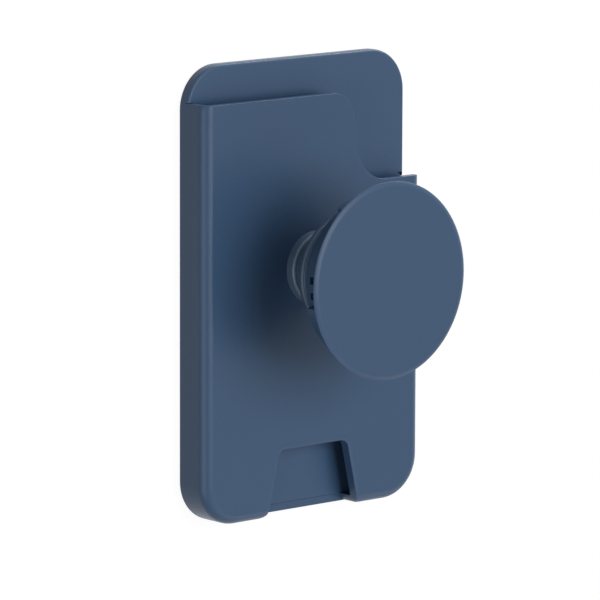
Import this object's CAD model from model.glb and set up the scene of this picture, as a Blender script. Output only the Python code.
import bmesh
import bpy
import numpy as np
from mathutils import Matrix, Vector
from mathutils.geometry import delaunay_2d_cdt


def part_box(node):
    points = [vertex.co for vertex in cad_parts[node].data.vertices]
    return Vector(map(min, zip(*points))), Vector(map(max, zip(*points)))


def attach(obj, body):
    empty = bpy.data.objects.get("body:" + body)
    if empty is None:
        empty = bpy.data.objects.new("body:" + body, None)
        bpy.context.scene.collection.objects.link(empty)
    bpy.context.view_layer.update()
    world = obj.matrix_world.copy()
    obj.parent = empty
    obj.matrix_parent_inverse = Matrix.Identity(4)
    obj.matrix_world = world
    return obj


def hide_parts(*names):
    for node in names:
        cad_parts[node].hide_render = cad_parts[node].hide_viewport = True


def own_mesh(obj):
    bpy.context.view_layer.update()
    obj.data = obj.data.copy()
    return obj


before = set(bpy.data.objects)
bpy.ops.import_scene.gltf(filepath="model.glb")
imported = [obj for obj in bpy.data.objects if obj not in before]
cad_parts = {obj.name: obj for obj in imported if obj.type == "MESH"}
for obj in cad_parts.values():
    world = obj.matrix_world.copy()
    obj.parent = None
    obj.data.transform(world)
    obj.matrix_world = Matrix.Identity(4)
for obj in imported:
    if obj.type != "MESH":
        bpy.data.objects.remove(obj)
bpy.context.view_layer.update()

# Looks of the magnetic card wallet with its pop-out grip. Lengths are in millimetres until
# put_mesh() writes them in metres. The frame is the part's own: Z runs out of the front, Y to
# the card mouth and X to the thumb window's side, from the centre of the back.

MM = 0.001
TAU = 2 * np.pi
# In millimetres: points nearer than WELD become one, steps under LEAST_STEP count as none, and
# FAR lies beyond everything
WELD, LEAST_STEP, FAR = 0.002, 1e-5, 1e3

# Wallet
BODY_W, BODY_L, CORNER_R = 59.2, 95.2, 9.0
BODY_H, UNDER_Z, FLOOR_Z, LAP_Z, PLATE_Z = 8.6, 7.0, 2.85, 1.95, 0.15
SHELL_WALL, FRONT_R, BAY_R, BACK_R, LIP_R, PANEL_BORDER = 1.6, 2.3, 0.7, 0.5, 0.6, 0.6
PAD_T, PAD_RIM, FIT, SLIDE_FIT = 0.45, 1.5, 0.1, 0.05
SPRING_T, SPRING_BOW, SPRING_EDGE_R = 0.2, 1.0, 0.09
# Thumb window and card mouth
MOUTH_Y, WINDOW_X, WINDOW_Y, WINDOW_SLANT = 40.1, 9.8, 21.0, np.radians(8.5)
PANEL_R, SCOOP_R, LEDGE_R, LEDGE_GAP = 5.5, 8.5, 1.0, 1.0
# Push-out notch
NOTCH_Y, NOTCH_X, NOTCH_SLANT, NOTCH_R, FLARE_R = -33.3, 9.3, np.radians(12.5), 2.0, 1.6
RIB_W, RIB_H = 1.2, 0.7
# Grip
GRIP_Y, HUB_R, HUB_TOP, FLANGE_R, FLANGE_T = 4.25, 7.7, 10.85, 10.4, 0.8
HUB_WALL, BELLOWS_WALL, FOOT_Z, HEAD_Z, TRAVEL = 1.0, 1.0, 7.8, 26.8, 15.0
CARRIER_R, CARRIER_WALL, CARRIER_LOW, CARRIER_TOP = 15.7, 1.4, 23.9, 28.4
WEB_Z, WEB_BORE_R, GROOVE_LOW, GROOVE_HIGH, GROOVE_R = 26.8, 4.0, 26.4, 27.7, 15.0
TOP_R, RIM_Z, TOP_Z, CORE_Z = 20.5, 30.65, 32.35, 28.65
ROUND_W, ROUND_DROP, EDGE_T, UNDER_W = 1.2, 0.4, 0.2, 2.2
LOBE_IN_R, LOBE_OUT_R, LOBE_LOW, LOBE_CORNER = 16.1, 17.3, 25.15, 0.4
LOBE_AT, LOBE_SPAN, LUG_SPAN, ENTRY_SPAN = np.radians([68.0, 104.0, 40.0, 44.0])
LATCH_AT, LATCH_HALF = np.radians([183.0, 6.0])
SLIT_W, SLIT_UP, SLIT_DEPTH = 1.5, 1.3, 1.3
TURN_GAP, LUG_T, LUG_REACH = 0.25, 0.8, 0.6
# Small rounds and bevels that the mould leaves along cut edges
WINDOW_EDGE_R, NOTCH_EDGE_R, PAD_EDGE_R, CARRIER_EDGE, LOBE_EDGE = 0.1, 0.25, 0.12, 0.15, 0.2


# ---------------------------------------------------------------- outlines in the plan

def arc(centre, radius, start, end, steps=12):
    """Points at the given radius from the centre, at even angles from start to end, in degrees."""
    a = np.radians(np.linspace(start, end, steps + 1))
    return np.array(centre) + radius * np.column_stack([np.cos(a), np.sin(a)])


def outline(inset, steps=16):
    """The wallet's outline drawn in by inset: four quarter circles about the corners' centres,
    whose radius shrinks by the same inset, joined by straight sides."""
    hx, hy, r = BODY_W / 2 - CORNER_R, BODY_L / 2 - CORNER_R, CORNER_R - inset
    return np.concatenate([
        arc((sx * hx, sy * hy), r, start, start + 90, steps)
        for sx, sy, start in ((1, 1, 0), (-1, 1, 90), (-1, -1, 180), (1, -1, 270))])


def depth(p):
    """Distance in from the wallet's outline: the corner radius less the distance of the point
    beyond the inner rectangle that joins the corners' centres, and negative outside."""
    q = np.abs(p) - [BODY_W / 2 - CORNER_R, BODY_L / 2 - CORNER_R]
    reach = np.hypot(*np.maximum(q, 0).T)
    return CORNER_R - reach - np.minimum(q.max(axis=1), 0)


def beside(point, lean, y, r):
    """X of a circle's centre at height y that touches the line through point leaning by lean:
    the line's x there, plus the radius over the cosine of the lean."""
    return point[0] + (r - (y - point[1]) * np.sin(lean)) / np.cos(lean)


def window_line(grow=0.0):
    """The edge of the card mouth and the thumb window, from left to right, as straight runs
    between the arcs of the panel's corner, the scoop and the ledge. With grow its straight
    runs at the mouth and the ledge lie that much nearer the mouth, for a clearance."""
    start, low = (WINDOW_X, MOUTH_Y), WINDOW_Y + grow
    y = MOUTH_Y - PANEL_R
    corner = (beside(start, WINDOW_SLANT, y, -PANEL_R), y)
    scoop = (beside(start, WINDOW_SLANT, low + SCOOP_R, SCOOP_R), low + SCOOP_R)
    slant = np.degrees(WINDOW_SLANT)
    head = [(-BODY_W, MOUTH_Y + grow)]
    if grow:
        # The corner's arc stays, so the run at the mouth comes back to it over a millimetre
        head.append((corner[0] - 1, MOUTH_Y + grow))
    return np.concatenate([
        head, arc(corner, PANEL_R, 90, slant), arc(scoop, SCOOP_R, 180 + slant, 270, 16),
        arc((BODY_W / 2 - LEDGE_R, low - LEDGE_R), LEDGE_R, 90, 0),
        [(BODY_W, low - LEDGE_R)]])


def notch_line(grow=0.0):
    """The edge of the push-out notch, from its left foot up and over to its right foot: two
    leaning sides between the top corners' arcs and the flared feet. With grow it runs outside
    the notch at that distance."""
    start, slant = (NOTCH_X, NOTCH_Y), np.degrees(NOTCH_SLANT)
    y = NOTCH_Y - NOTCH_R
    top = (beside(start, NOTCH_SLANT, y, -NOTCH_R), y)
    y = -BODY_L / 2 + FLARE_R
    flare = (beside(start, NOTCH_SLANT, y, FLARE_R), y)
    right = np.concatenate([
        arc(top, NOTCH_R + grow, 90, slant), arc(flare, FLARE_R - grow, 180 + slant, 270),
        [(flare[0], -BODY_L)]])
    return np.concatenate([right[::-1] * [-1, 1], right])


def inside(p, loop):
    """Whether each point lies in the closed loop: an upward and downward crossing count of the
    loop's sides to the right of the point is odd."""
    a, b = loop, np.roll(loop, -1, axis=0)
    x, y = p[:, :1], p[:, 1:]
    spans = (a[:, 1] > y) != (b[:, 1] > y)
    rise = np.where(b[:, 1] == a[:, 1], 1.0, b[:, 1] - a[:, 1])
    crossing = a[:, 0] + (y - a[:, 1]) * (b[:, 0] - a[:, 0]) / rise
    return (spans & (x < crossing)).sum(axis=1) % 2 == 1


def distance(p, line):
    """Shortest distance from each point to an open line: to the nearest place on each of its
    segments, found by projecting the point on it and keeping between its ends."""
    a, d = line[:-1], np.diff(line, axis=0)
    rel = p[:, None, :] - a
    t = np.clip((rel * d).sum(2) / np.maximum((d * d).sum(1), 1e-12), 0, 1)
    return np.hypot(*np.moveaxis(rel - t[..., None] * d, 2, 0)).min(axis=1)


def shifted(line, by):
    """The line moved sideways to its right by a distance: each point goes along the mean of the
    normals of the two segments that meet there."""
    d = np.diff(line, axis=0)
    n = np.column_stack([d[:, 1], -d[:, 0]]) / np.hypot(*d.T)[:, None]
    n = np.concatenate([n[:1], n[:-1] + n[1:], n[-1:]])
    n /= np.hypot(*n.T)[:, None]
    return line + by * n


def fillet(d, r):
    """Drop of a quarter round below a flat face at distance d from its edge: the radius less
    the circle's height there, and nothing beyond the radius."""
    return r - np.sqrt(np.maximum(r * r - np.clip(r - d, 0, r) ** 2, 0))


def fillet_steps(r, steps):
    """Distances from the edge at which a quarter round turns by equal angles."""
    return r * (1 - np.cos(np.linspace(0, np.pi / 2, steps + 1)))


# ---------------------------------------------------------------- surfaces

SMOOTH_BELOW = np.radians(30)


def put_mesh(name, points, faces, body, slot, material, stands_for):
    """A closed mesh from points in millimetres: points that coincide are merged, faces are
    turned outwards, and edges that turn by less than SMOOTH_BELOW shade as smooth."""
    mesh = bpy.data.meshes.new(name)
    mesh.from_pydata((np.asarray(points, float) * MM).tolist(), [],
                     [list(map(int, f)) for f in faces])
    bm = bmesh.new()
    bm.from_mesh(mesh)
    bmesh.ops.remove_doubles(bm, verts=bm.verts, dist=WELD * MM)
    bmesh.ops.delete(bm, geom=[e for e in bm.edges if not e.link_faces], context="EDGES")
    bmesh.ops.recalc_face_normals(bm, faces=bm.faces)
    bm.to_mesh(mesh)
    bm.free()
    mesh.shade_smooth()
    mesh.set_sharp_from_angle(angle=SMOOTH_BELOW)
    piece = bpy.data.objects.new(name, mesh)
    bpy.context.scene.collection.objects.link(piece)
    shade = piece.modifiers.new("shade", "WEIGHTED_NORMAL")
    shade.keep_sharp = True
    mesh.materials.append(material)
    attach(piece, body)
    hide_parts(*stands_for)
    return piece


def chain(loop, closed):
    """The pairs of neighbouring points along a line, as numbers from 0."""
    n = len(loop)
    return [(i, (i + 1) % n) for i in range(n if closed else n - 1)]


def triangulated(lines):
    """Points and counterclockwise triangles of the plan, cut along every given line."""
    points, edges = [], []
    for loop, closed in lines:
        base = len(points)
        points += [Vector(p) for p in loop.tolist()]
        edges += [(base + a, base + b) for a, b in chain(loop, closed)]
    # Output type 0 keeps the triangles outside the lines too
    verts, _, tris, *_ = delaunay_2d_cdt(points, edges, [], 0, LEAST_STEP)
    return np.array(verts), np.array(tris)


def stepped_solid(lines, region, top, bottom, levels):
    """The closed surface of a solid given by its height over the plan. The plan is cut into
    triangles along the lines. Over each one the front is top(points, region) and the back is
    bottom(points, region). Where the heights of two neighbours differ, or the plan ends,
    upright faces join them, split at the levels so that their corners meet.
    region(centres) gives each triangle's region, and -1 where there is nothing."""
    verts, tris = triangulated(lines)
    kind = region(verts[tris].mean(axis=1))
    tris, kind = tris[kind >= 0], kind[kind >= 0]
    flat = verts[tris.ravel()]
    each = np.repeat(kind, 3)
    zt, zb = top(flat, each).reshape(-1, 3), bottom(flat, each).reshape(-1, 3)
    points = [np.column_stack([flat, zt.ravel()]), np.column_stack([flat, zb.ravel()])]
    m = len(flat)
    order = np.arange(m).reshape(-1, 3)
    faces = [*order.tolist(), *(order[:, ::-1] + m).tolist()]

    # Every triangle's three sides, with the front's and the back's heights at their two ends
    side, high, low = (np.concatenate([t[:, [i, (i + 1) % 3]] for i in range(3)])
                       for t in (tris, zt, zb))
    key = np.sort(side, axis=1) @ [len(verts), 1]
    _, first, inverse, count = np.unique(key, return_index=True, return_inverse=True,
                                         return_counts=True)
    last = np.zeros(len(first), int)
    last[inverse] = np.arange(len(side))

    # Upright faces: each as its two ends in the plan, and the lower and upper height at each
    alone = first[count == 1]
    walls = [(side[alone], low[alone], high[alone])]
    a, b = first[count == 2], last[count == 2]
    for here, there in ((high[a], high[b][:, ::-1]), (low[b][:, ::-1], low[a])):
        rise = (here - there).sum(axis=1)
        up, down = rise > LEAST_STEP / 10, rise < -LEAST_STEP / 10
        walls.append((side[a][up], there[up], here[up]))
        walls.append((side[a][down][:, ::-1], here[down][:, ::-1], there[down][:, ::-1]))
    ends, lo, hi = (np.concatenate(part) for part in zip(*walls))
    cuts = [-FAR, *levels, FAR]
    base = 2 * m
    for z0, z1 in zip(cuts[:-1], cuts[1:]):
        l, h = np.clip(lo, z0, z1), np.clip(hi, z0, z1)
        keep = (h - l).max(axis=1) > LEAST_STEP
        l, h, e = l[keep], h[keep], verts[ends[keep]]
        quad = np.stack([
            np.column_stack([e[:, 0], l[:, 0]]), np.column_stack([e[:, 1], l[:, 1]]),
            np.column_stack([e[:, 1], h[:, 1]]), np.column_stack([e[:, 0], h[:, 0]])], axis=1)
        points.append(quad.reshape(-1, 3))
        faces += (np.arange(4 * len(quad)).reshape(-1, 4) + base).tolist()
        base += 4 * len(quad)
    return np.concatenate(points), faces


STRAIGHT = 1.55      # half the angle between two sides from which a corner counts as none


def rounded(corners, steps=5):
    """A closed loop through (x, y, radius) corners, each replaced by the arc that touches both
    its sides. The arc starts at radius over the tangent of half the corner's angle."""
    c = np.array(corners, float)
    out = []
    for before, here, after in zip(np.roll(c, 1, axis=0), c, np.roll(c, -1, axis=0)):
        p, r = here[:2], here[2]
        u, v = before[:2] - p, after[:2] - p
        u, v = u / np.hypot(*u), v / np.hypot(*v)
        half = np.arccos(np.clip(u @ v, -1, 1)) / 2
        if r <= 0 or half > STRAIGHT:
            out.append(p[None])
            continue
        middle = p + (u + v) / np.hypot(*(u + v)) * r / np.sin(half)
        a, b = p + u * r / np.tan(half) - middle, p + v * r / np.tan(half) - middle
        t = np.linspace(0, 1, steps + 1)[:, None]
        swing = np.pi - 2 * half
        out.append(middle + (np.sin((1 - t) * swing) * a + np.sin(t * swing) * b) / np.sin(swing))
    return np.concatenate(out)


def turned(profile, angles):
    """Grid of a closed profile turned about the grip's axis: x is r times the angle's cosine, y
    is the axis' y plus r times its sine. The profile may differ from angle to angle."""
    profile = np.broadcast_to(profile, (len(angles), *np.shape(profile)[-2:]))
    r, z = profile[..., 0], profile[..., 1]
    x, y = r * np.cos(angles)[:, None], GRIP_Y + r * np.sin(angles)[:, None]
    return np.stack([x, y, z], axis=2)


def closed_grid(grid):
    """Points and four-sided faces of a grid that closes on itself both ways."""
    rows, cols = grid.shape[:2]
    i = np.arange(rows * cols).reshape(rows, cols)
    right, up = np.roll(i, -1, axis=1), np.roll(i, -1, axis=0)
    faces = np.stack([i, up, np.roll(up, -1, axis=1), right], axis=2)
    return grid.reshape(-1, 3), faces.reshape(-1, 4).tolist()


# ---------------------------------------------------------------- finishes

def paint(code):
    """Linear colour of an sRGB hex value."""
    c = np.array([int(code[i:i + 2], 16) for i in (1, 3, 5)]) / 255
    return (*np.where(c <= 0.04045, c / 12.92, ((c + 0.055) / 1.055) ** 2.4).tolist(), 1.0)


def finish(name):
    """A new material, and its node tree with nothing in it."""
    material = bpy.data.materials.new(name)
    material.use_nodes = True
    tree = material.node_tree
    tree.nodes.clear()
    return material, tree


def add(tree, kind, inputs=None, **settings):
    """A new node with its settings. Each input takes a value, or is linked if given a socket."""
    node = tree.nodes.new("ShaderNode" + kind)
    for name, value in settings.items():
        setattr(node, name, value)
    for name, value in (inputs or {}).items():
        if isinstance(value, bpy.types.NodeSocket):
            tree.links.new(value, node.inputs[name])
        else:
            node.inputs[name].default_value = value
    return node


DRIFT = 70.0         # patches of a shade per metre, so about 14 mm each
LINES = 900.0        # lines of the rolled metal per metre
NOISE_RANGE = {"From Min": 0.3, "From Max": 0.7}     # where nearly all of a noise lies


def moulded(name, base, shade, roughness, ior, sheen, grain_mm=0.3, relief_mm=0.02, waviness=0.5):
    """Moulded plastic: two close shades that drift over a centimetre or so, as the melt cools,
    and a spark-eroded grain that the steel mould leaves. Sheen is 0.5 for a clean surface and
    less for one that the grain dulls."""
    material, tree = finish(name)
    place = add(tree, "TexCoord").outputs["Object"]
    drift = add(tree, "TexNoise", {"Vector": place, "Scale": DRIFT, "Detail": 2.0})
    grain = add(tree, "TexNoise", {"Vector": place, "Scale": 1000 / grain_mm, "Detail": 2.0,
                                   "Roughness": 0.6})
    tone = add(tree, "Mix", {"Factor": drift.outputs["Fac"], "A": paint(base), "B": paint(shade)},
               data_type="RGBA")
    speck = add(tree, "MapRange", {"Value": grain.outputs["Fac"], **NOISE_RANGE,
                                   "To Min": 0.96, "To Max": 1.03})
    colour = add(tree, "Mix", {"Factor": 1.0, "A": tone.outputs[2], "B": speck.outputs["Result"]},
                 data_type="RGBA", blend_type="MULTIPLY")
    rough = add(tree, "MapRange", {"Value": grain.outputs["Fac"], **NOISE_RANGE,
                                   "To Min": roughness - 0.04, "To Max": roughness + 0.04})
    bump = add(tree, "Bump", {"Height": grain.outputs["Fac"], "Strength": waviness,
                              "Distance": relief_mm * MM})
    shader = add(tree, "BsdfPrincipled", {
        "Base Color": colour.outputs[2], "Roughness": rough.outputs["Result"], "IOR": ior,
        "Specular IOR Level": sheen, "Normal": bump.outputs["Normal"]})
    add(tree, "OutputMaterial", {"Surface": shader.outputs["BSDF"]})
    return material


# Moulded polycarbonate with a fine matte grain: soft, broad highlights along the edges. The
# real grain is about 0.05 mm, and is drawn at 0.3 mm so that it shows at all.
SHELL_PLASTIC = moulded("moulded polycarbonate", "#3F5A7B", "#3D5877", 0.34, 1.55, 0.26)
PLATE_PLASTIC = moulded("moulded plate polycarbonate", "#415C7D", "#3F5A7A", 0.36, 1.55, 0.26)
# The hub is moulded in nylon, a little greyer and paler
HUB_NYLON = moulded("moulded nylon", "#586C83", "#54687E", 0.36, 1.53, 0.5)
# The carrier is left matte from the mould, and a little darker
CARRIER_NYLON = moulded("moulded matte nylon", "#3A5370", "#38516D", 0.45, 1.53, 0.12)
# Thermoplastic elastomer: greyer than the hard plastic, with a soft sheen on its folds
SOFT_ELASTOMER = moulded("moulded elastomer", "#455B74", "#42576F", 0.4, 1.48, 0.5,
                         grain_mm=0.4, relief_mm=0.03, waviness=0.6)
# Silicone sheet with a cloth-fine matte surface
SILICONE = moulded("silicone sheet", "#37475F", "#344359", 0.65, 1.42, 0.3,
                   grain_mm=0.5, relief_mm=0.04, waviness=0.8)


def drawn_metal(name, colour, roughness, stretch):
    """Rolled or plated metal: fine lines, drawn long where stretch is below 1, vary the
    roughness."""
    material, tree = finish(name)
    place = add(tree, "TexCoord").outputs["Object"]
    along = add(tree, "Mapping", {"Vector": place, "Scale": stretch})
    lines = add(tree, "TexNoise", {"Vector": along.outputs["Vector"], "Scale": LINES,
                                   "Detail": 3.0})
    rough = add(tree, "MapRange", {"Value": lines.outputs["Fac"], **NOISE_RANGE,
                                   "To Min": roughness - 0.08, "To Max": roughness + 0.1})
    bump = add(tree, "Bump", {"Height": lines.outputs["Fac"], "Strength": 0.2,
                              "Distance": 0.01 * MM})
    shader = add(tree, "BsdfPrincipled", {
        "Base Color": paint(colour), "Metallic": 1.0, "Roughness": rough.outputs["Result"],
        "Normal": bump.outputs["Normal"]})
    add(tree, "OutputMaterial", {"Surface": shader.outputs["BSDF"]})
    return material


# Rolled spring steel: faint lines along the strip, a mid-grey gleam
SPRING_STEEL = drawn_metal("rolled spring steel", "#A3A6AA", 0.34, (1.0, 0.05, 1.0))
# Nickel plate on sintered magnets: bright, slightly warm
NICKEL = drawn_metal("nickel plate", "#BDBAB2", 0.26, (1.0, 1.0, 1.0))


# ---------------------------------------------------------------- front shell

WINDOW = window_line()
NOTCH = notch_line()
RIB = notch_line(RIB_W)
LEDGE_X = BODY_W / 2 - 0.2               # where the ledge ends
POST_X = BODY_W / 2 - SHELL_WALL - 1     # from here on the wall gives way to the ledge


def beyond(p, edge):
    """Whether each point lies past an edge that runs across the wallet, on the mouth's side."""
    return inside(p, np.concatenate([edge, [(BODY_W, BODY_L), (-BODY_W, BODY_L)]]))


def shell_region(p):
    """0 for the wall, 1 for the panel over the bay, 2 for the panel over the hub's flange, 3
    for the ledge past the side wall's end, 4 for the sill under the notch, 5 for the panel
    over the notch's rib, -1 outside."""
    d, r = depth(p), np.hypot(p[:, 0], p[:, 1] - GRIP_Y)
    kind = np.where(d < SHELL_WALL, 0, np.where(r < FLANGE_R + SLIDE_FIT, 2, 1))
    kind[(kind == 1) & inside(p, RIB)] = 5
    past = (p[:, 1] > WINDOW_Y - LEDGE_GAP) & (p[:, 0] > POST_X)
    kind[past] = 3
    notch = inside(p, NOTCH)
    kind[notch] = np.where(d[notch] < SHELL_WALL, 4, -1)
    kind[(d < 0) | beyond(p, WINDOW) | (r < HUB_R + SLIDE_FIT)] = -1
    kind[past & (p[:, 0] > LEDGE_X)] = -1
    return kind


def shell_top(p, kind):
    """Front: the panel's height, less the large round by depth from the outline, less the small
    rounds by distance from the window's and notch's edges. The window's fades out where the
    ledge thins. The sill lies level with the floor."""
    drop = fillet(depth(p), FRONT_R)
    thick = np.clip((BODY_H - drop - UNDER_Z) / (2 * WINDOW_EDGE_R), 0, 1)
    small = fillet(distance(p, WINDOW), WINDOW_EDGE_R) * np.where(p[:, 0] > POST_X, thick, 1)
    small = np.maximum(small, fillet(distance(p, NOTCH), NOTCH_EDGE_R))
    return np.where(kind == 4, FLOOR_Z, BODY_H - drop - small)


def shell_bottom(p, kind):
    """Back: the walls reach to the plate, and the panel's inside has a small round along the
    walls, a recess for the hub's flange and a rib along the notch."""
    bay = UNDER_Z - fillet(depth(p) - SHELL_WALL, BAY_R)
    rib = np.minimum(bay, UNDER_Z - RIB_H)
    return np.choose(kind, [LAP_Z, bay, UNDER_Z + FLANGE_T, UNDER_Z, LAP_Z, rib])


def circle(radius, steps=96):
    """A closed circle about the grip's axis."""
    return arc((0, GRIP_Y), radius, 0, 360, steps)[:-1]


# The plan's lines, each with whether it closes. The last of the outlines bounds a flat border,
# which keeps the shading of the large round off the panel
shell_lines = [(outline(d), True) for d in fillet_steps(FRONT_R, 12)]
shell_lines += [(outline(SHELL_WALL + d), True) for d in fillet_steps(BAY_R, 4)]
shell_lines += [(outline(FRONT_R + PANEL_BORDER), True)]
shell_lines += [(shifted(line, d), False)
                for line, r in ((WINDOW, WINDOW_EDGE_R), (NOTCH, NOTCH_EDGE_R))
                for d in (*fillet_steps(r, 4), 2 * r)]
shell_lines += [(circle(FLANGE_R + SLIDE_FIT), True), (circle(HUB_R + SLIDE_FIT), True),
                (RIB, False)]
wall_end = WINDOW_Y - LEDGE_GAP
shell_lines += [(np.array(ends), False) for ends in (
    [(POST_X, wall_end), (BODY_W, wall_end)], [(POST_X, wall_end), (POST_X, WINDOW_Y + 1)],
    [(LEDGE_X, wall_end), (LEDGE_X, WINDOW_Y + 1)])]
shell_levels = (LAP_Z, FLOOR_Z, BODY_H - FRONT_R, UNDER_Z - RIB_H, UNDER_Z, UNDER_Z + FLANGE_T)
put_mesh("shell", *stepped_solid(shell_lines, shell_region, shell_top, shell_bottom, shell_levels),
         "wallet", "shell", SHELL_PLASTIC, ["front_shell"])


# ---------------------------------------------------------------- back plate and pad

LIP = window_line(FIT)


def plate_region(p):
    """0 under the shell's walls, 1 for the floor between them, 2 for the lip past the shell,
    and the same three over the pad's recess as 3, 4 and 5. -1 outside."""
    d = depth(p)
    kind = np.where(beyond(p, LIP), 2, np.where(d < SHELL_WALL + SLIDE_FIT, 0, 1))
    kind[d > PAD_RIM - FIT] += 3
    kind[d < 0] = -1
    return kind


def plate_top(p, kind):
    """Front: the lap under the walls, the floor, or the lip with its round along the outline."""
    return np.choose(kind % 3, [LAP_Z, FLOOR_Z, FLOOR_Z - fillet(depth(p), LIP_R)])


def plate_bottom(p, kind):
    """Back: a rim with a round along the outline, and a flat recess for the pad."""
    return np.where(kind < 3, PLATE_Z + fillet(depth(p), BACK_R), PAD_T)


plate_insets = [*fillet_steps(BACK_R, 5), *fillet_steps(LIP_R, 4), 2 * BACK_R]
plate_lines = [(outline(d), True) for d in plate_insets]
plate_lines += [(outline(SHELL_WALL + SLIDE_FIT), True), (outline(PAD_RIM - FIT), True)]
plate_lines += [(LIP, False)]
plate_levels = (PLATE_Z + BACK_R, LAP_Z)
put_mesh("plate", *stepped_solid(plate_lines, plate_region, plate_top, plate_bottom, plate_levels),
         "wallet", "plate", PLATE_PLASTIC, ["back_plate"])

pad_lines = [(outline(PAD_RIM + d), True) for d in (*fillet_steps(PAD_EDGE_R, 3), 1.0)]
pad_solid = stepped_solid(
    pad_lines, lambda p: np.where(depth(p) > PAD_RIM, 0, -1),
    lambda p, kind: np.full(len(p), PAD_T),
    lambda p, kind: fillet(depth(p) - PAD_RIM, PAD_EDGE_R), ())
put_mesh("pad", *pad_solid, "wallet", "pad", SILICONE, ["back_pad"])


# ---------------------------------------------------------------- leaf springs

def leaf_spring(side):
    """A strip bent to a shallow bow: its section, a flat rectangle with rounded edges, is
    carried along a parabola from end to end."""
    hand = "right" if side > 0 else "left"
    low, high = (np.array(c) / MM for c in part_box(f"card_spring_{hand}"))
    u = np.linspace(-1, 1, 49)
    mid = (low[1] + high[1]) / 2
    half = (high[1] - low[1]) / 2
    seat = max(abs(low[0]), abs(high[0])) - SPRING_T / 2
    section = rounded([(s * SPRING_T / 2, z, SPRING_EDGE_R) for s, z in
                       ((-1, low[2]), (1, low[2]), (1, high[2]), (-1, high[2]))], 3)
    x = seat - SPRING_BOW * (1 - u * u)
    grid = np.stack([side * (x[:, None] + section[:, 0]),
                     np.broadcast_to((mid + u * half)[:, None], (len(u), len(section))),
                     np.broadcast_to(section[:, 1], (len(u), len(section)))], axis=2)
    rows, cols = grid.shape[:2]
    i = np.arange(rows * cols).reshape(rows, cols)
    right = np.roll(i, -1, axis=1)
    faces = np.stack([i[:-1], i[1:], right[1:], right[:-1]], axis=2).reshape(-1, 4).tolist()
    faces += [i[0].tolist(), i[-1][::-1].tolist()]
    put_mesh(f"leaf_{hand}", grid.reshape(-1, 3), faces, "wallet", "spring_steel", SPRING_STEEL,
             [f"card_spring_{hand}"])


for side in (-1, 1):
    leaf_spring(side)


# ---------------------------------------------------------------- grip

ROUND = np.linspace(0, TAU, 193)[:-1]    # 192 even angles all the way round

# The hub: its flange inside the panel and its neck in front, as (r, z, radius of the corner)
hub_in_r = HUB_R - HUB_WALL
hub_profile = rounded([
    (0, UNDER_Z, 0), (FLANGE_R, UNDER_Z, 0.1), (FLANGE_R, UNDER_Z + FLANGE_T, 0.1),
    (HUB_R, UNDER_Z + FLANGE_T, 0.05), (HUB_R, HUB_TOP, 0.75), (hub_in_r, HUB_TOP, 0.15),
    (hub_in_r, UNDER_Z + FLANGE_T, 0.1), (0, UNDER_Z + FLANGE_T, 0)])
put_mesh("hub", *closed_grid(turned(hub_profile, ROUND)), "wallet", "shell", HUB_NYLON,
         ["grip_hub"])

# The soft bellows: its outside from foot to head as (r, z, radius of the corner), and its
# inside back down, one wall behind, with small rounds between its two flat ends
BELLOWS_OUT = [
    (6.6, FOOT_Z, 0.05), (6.6, HUB_TOP, 0.05), (7.1, 10.95, 0.05), (7.1, 14.25, 0.8),
    (11.9, 17.55, 0.2), (12.4, 17.6, 0.7), (12.4, 19.1, 0.7), (11.9, 19.15, 0.2),
    (13.7, 23.4, 0.3), (14.2, 23.9, 0.3), (14.2, HEAD_Z, 0.05)]
bellows_profile = rounded(
    BELLOWS_OUT + [(r - BELLOWS_WALL, z, 0.25 if FOOT_Z < z < HEAD_Z else 0.05)
                   for r, z, _ in BELLOWS_OUT[::-1]])
bellows = put_mesh("bellows_skin", *closed_grid(turned(bellows_profile, ROUND)), "wallet",
                   "bellows", SOFT_ELASTOMER, ["bellows"])
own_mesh(bellows)


def off_centre(angles, centre):
    """Angle between each direction and the nearer of the centre and its twin half a turn away."""
    return np.abs((angles - centre + np.pi / 2) % np.pi - np.pi / 2)


def within(angles, centre, width):
    """1 for the angles in a span about the centre or its twin, and 0 elsewhere."""
    return (off_centre(angles, centre) <= width / 2) * 1.0


def stops(*spans):
    """Angles all the way round, with a pair a hair apart at each end of the spans and their
    twins, so that a step there stands upright, and a few more behind each end for a round."""
    hair, behind = 1e-5, fillet_steps(LOBE_CORNER, 4)[1:] / LOBE_OUT_R
    ends = [c + s * (w / 2 + inset) + t for c, w in spans for s in (-1, 1)
            for t in (0, np.pi) for inset in (hair, -hair, *-behind)]
    return np.sort(np.concatenate([ROUND, ends]) % TAU)


def profile_by_angle(count, corners):
    """One profile for each of count angles, from corners whose r or z may be a number for all
    angles or an array with one value for each."""
    return np.stack([np.stack([np.broadcast_to(r, count), np.broadcast_to(z, count)], axis=1)
                     for r, z in corners], axis=1)


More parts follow.
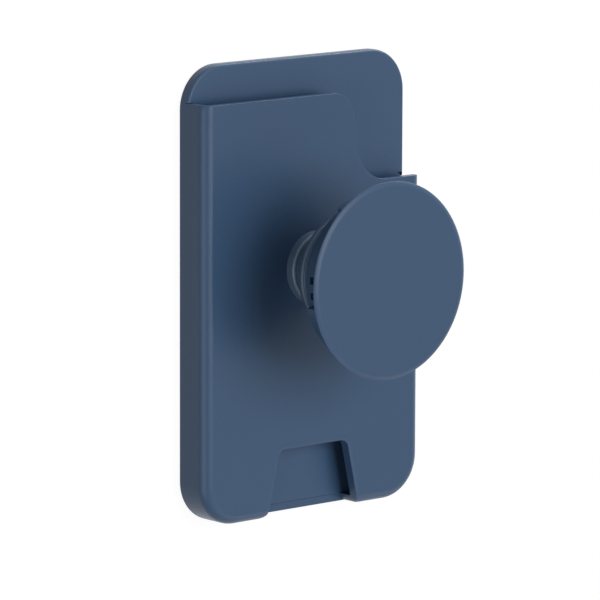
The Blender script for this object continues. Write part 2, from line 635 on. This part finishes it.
# Carrier: ring, web, groove, entry gaps in the rim and slits beside the latches
entry = (LOBE_AT + np.pi / 2, ENTRY_SPAN)
slits = [(LATCH_AT + s * LATCH_HALF, SLIT_W / CARRIER_R) for s in (-1, 1)]
angles = stops(entry, *slits)
rim_r = CARRIER_R - within(angles, *entry) * (CARRIER_R - GROOVE_R - TURN_GAP)
slit_r = CARRIER_R - sum(within(angles, *slit) for slit in slits) * SLIT_DEPTH
slit_low, inner_r, edge = CARRIER_LOW + SLIT_UP, CARRIER_R - CARRIER_WALL, CARRIER_EDGE
foot = rounded([(inner_r, CARRIER_LOW + 1, 0), (inner_r, CARRIER_LOW, edge),
                (CARRIER_R, CARRIER_LOW, 2 * edge), (CARRIER_R, CARRIER_LOW + 1, 0)])[:-1]
carrier_profile = profile_by_angle(len(angles), [
    *foot, (CARRIER_R, slit_low), (slit_r, slit_low), (slit_r, GROOVE_LOW - edge),
    (np.maximum(slit_r, GROOVE_R + edge) - edge, GROOVE_LOW), (GROOVE_R, GROOVE_LOW),
    (GROOVE_R, GROOVE_HIGH), (rim_r, GROOVE_HIGH), (rim_r, CARRIER_TOP - edge),
    (rim_r - edge, CARRIER_TOP), (WEB_BORE_R, CARRIER_TOP), (WEB_BORE_R, WEB_Z),
    (inner_r, WEB_Z)])
put_mesh("carrier", *closed_grid(turned(carrier_profile, angles)), "grip_carrier", "shell",
         CARRIER_NYLON, ["top_carrier"])

# Top: the round face with its rim, the raised core, the skirt lobes and the bayonet lugs
lobe, lug = (LOBE_AT, LOBE_SPAN), (LOBE_AT, LUG_SPAN)
angles = stops(lobe, lug)
from_end = (LOBE_SPAN / 2 - off_centre(angles, LOBE_AT)) * LOBE_OUT_R
low = np.where(within(angles, *lobe) > 0, LOBE_LOW + fillet(from_end, LOBE_CORNER), RIM_Z)
lug_r = LOBE_IN_R - LUG_REACH * within(angles, *lug)
lug_low = np.maximum(GROOVE_LOW + TURN_GAP, low)
lug_high = np.maximum(GROOVE_LOW + TURN_GAP + LUG_T, low)
edge_z = np.minimum(low + LOBE_EDGE, RIM_Z)
# The face's shallow round is an arc that falls by ROUND_DROP over ROUND_W
curve_r = (ROUND_W**2 + ROUND_DROP**2) / (2 * ROUND_DROP)
swing = np.degrees(np.arcsin(ROUND_W / curve_r))
face_edge = arc((TOP_R - ROUND_W, TOP_Z - curve_r), curve_r, 90 - swing, 90, 8)
rim = rounded([(LOBE_OUT_R, RIM_Z, 0), (TOP_R - UNDER_W, RIM_Z, 0.8),
               (TOP_R, TOP_Z - ROUND_DROP - EDGE_T, 0.06), (*face_edge[0], 0.06),
               *((r, z, 0) for r, z in face_edge[1:])])
top_profile = profile_by_angle(len(angles), [
    (0, CORE_Z), (LOBE_IN_R, CORE_Z), (LOBE_IN_R, lug_high), (lug_r, lug_high),
    (lug_r, lug_low), (LOBE_IN_R, lug_low), (LOBE_IN_R, edge_z), (LOBE_IN_R + LOBE_EDGE, low),
    (LOBE_OUT_R - LOBE_EDGE, low), (LOBE_OUT_R, edge_z), *rim, (0, TOP_Z)])
put_mesh("top", *closed_grid(turned(top_profile, angles)), "grip_top", "shell", SHELL_PLASTIC,
         ["grip_top"])


# ---------------------------------------------------------------- enclosed pieces

# The source's own solids stay here, with better finishes
enclosed = {"magnet_cover": PLATE_PLASTIC, "shield_plate": SPRING_STEEL}
for name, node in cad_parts.items():
    if name.startswith(("magnet_", "alignment", "shield")):
        node.data.materials.clear()
        node.data.materials.append(enclosed.get(name, NICKEL))


# ---------------------------------------------------------------- floor, light and camera

def backdrop_seen(tree):
    """1 for rays that come from the camera, straight or by way of gloss or glass, and 0 for
    the rays that light the object."""
    rays = add(tree, "LightPath").outputs
    seen = rays["Is Camera Ray"]
    for kind in ("Is Glossy Ray", "Is Transmission Ray"):
        seen = add(tree, "Math", {0: seen, 1: rays[kind]}, operation="MAXIMUM").outputs[0]
    return seen


# The floor looks white and keeps the wallet's shadow, but throws little light back on it
WHITE = (1, 1, 1, 1)
FLOOR_GLOW = 0.93                      # what the floor shows of its own
FLOOR_SHADE = (0.12, 0.12, 0.12, 1)    # what it adds to that where the lamps reach it
FLOOR_BOUNCE = (0.15, 0.15, 0.15, 1)   # what it throws back at the wallet
floor_finish, tree = finish("pale floor")
seen = backdrop_seen(tree)
matt = add(tree, "BsdfDiffuse", {"Color": FLOOR_BOUNCE})
white = add(tree, "Emission", {"Color": WHITE, "Strength": FLOOR_GLOW})
pale = add(tree, "BsdfDiffuse", {"Color": FLOOR_SHADE})
bright = add(tree, "AddShader", {0: white.outputs[0], 1: pale.outputs[0]})
both = add(tree, "MixShader", {0: seen, 1: matt.outputs[0], 2: bright.outputs[0]})
add(tree, "OutputMaterial", {"Surface": both.outputs[0]})

FLOOR_HALF = 4.0         # metres, half the floor's side
FLOOR_DROP = 0.05 * MM   # a hair under the pad, so that the two faces don't coincide
corners = [(sx * FLOOR_HALF, sy * FLOOR_HALF, -FLOOR_DROP)
           for sx, sy in ((-1, -1), (1, -1), (1, 1), (-1, 1))]
floor_mesh = bpy.data.meshes.new("floor")
floor_mesh.from_pydata(corners, [], [(0, 1, 2, 3)])
floor_mesh.materials.append(floor_finish)
floor = bpy.data.objects.new("floor", floor_mesh)
bpy.context.scene.collection.objects.link(floor)

# The world is white to look at, and only a faint bluish light to the object
world = bpy.data.worlds.new("studio")
world.use_nodes = True
tree = world.node_tree
tree.nodes.clear()
seen = backdrop_seen(tree)
dim = add(tree, "Background", {"Color": (0.93, 0.96, 1.0, 1), "Strength": 0.01})
white = add(tree, "Background", {"Color": WHITE, "Strength": 1.0})
both = add(tree, "MixShader", {0: seen, 1: dim.outputs[0], 2: white.outputs[0]})
add(tree, "OutputWorld", {"Surface": both.outputs[0]})
bpy.context.scene.world = world


def softbox(name, direction, distance, width, height, power):
    """A rectangular area light at a distance in metres along a direction from the wallet,
    facing it. Its width runs square to the direction and to Y, and its power is in watts."""
    lamp = bpy.data.lights.new(name, "AREA")
    lamp.shape, lamp.size, lamp.size_y, lamp.energy = "RECTANGLE", width, height, power
    spot = bpy.data.objects.new(name, lamp)
    way = Vector(direction).normalized()
    across = Vector((0, 1, 0)).cross(way).normalized()
    turn = Matrix((across, way.cross(across), way)).transposed().to_4x4()
    spot.matrix_world = Matrix.Translation(way * distance) @ turn
    bpy.context.scene.collection.objects.link(spot)
    spot.visible_camera = False


# A softbox in front and a little above with a weak upright strip beside it, a weak softbox on
# the left, a wide one below, and a long strip low over the table beyond the card mouth
softbox("front softbox", (0.05, 0.2, 1.0), 1.4, 0.9, 1.0, 10.6)
softbox("strip light", (0.45, 0.1, 1.0), 1.4, 0.2, 2.0, 1.6)
softbox("left softbox", (-1.0, -0.25, 0.3), 1.0, 0.75, 0.75, 3.0)
softbox("low softbox", (0.4, -1.0, 1.0), 1.4, 2.0, 0.6, 3.1)
softbox("top strip", (0.67, 0.74, 0.055), 1.4, 0.12, 1.0, 13.0)

# The photograph's camera: its axes to the right, up and back, its place in metres and its lens
# in millimetres come from the fit to the outlines
RIGHT = (0.75800667, 0.00341244, 0.65223787)
UP = (0.103646, 0.98665001, -0.12561558)
BACK = (-0.64395916, 0.16281929, 0.7475336)
CAMERA_AT = (-0.709478, 0.176111, 0.827484)
SENSOR_W, LENS, CLIP_END = 36.0, 317.26, 20.0
camera_data = bpy.data.cameras.new("camera")
camera_data.sensor_width = SENSOR_W
camera_data.lens = LENS
camera_data.clip_end = CLIP_END
camera = bpy.data.objects.new("camera", camera_data)
turn = Matrix((RIGHT, UP, BACK)).transposed().to_4x4()
camera.matrix_world = Matrix.Translation(CAMERA_AT) @ turn
bpy.context.scene.collection.objects.link(camera)
bpy.context.scene.camera = camera
bpy.context.scene.view_settings.view_transform = "Standard"
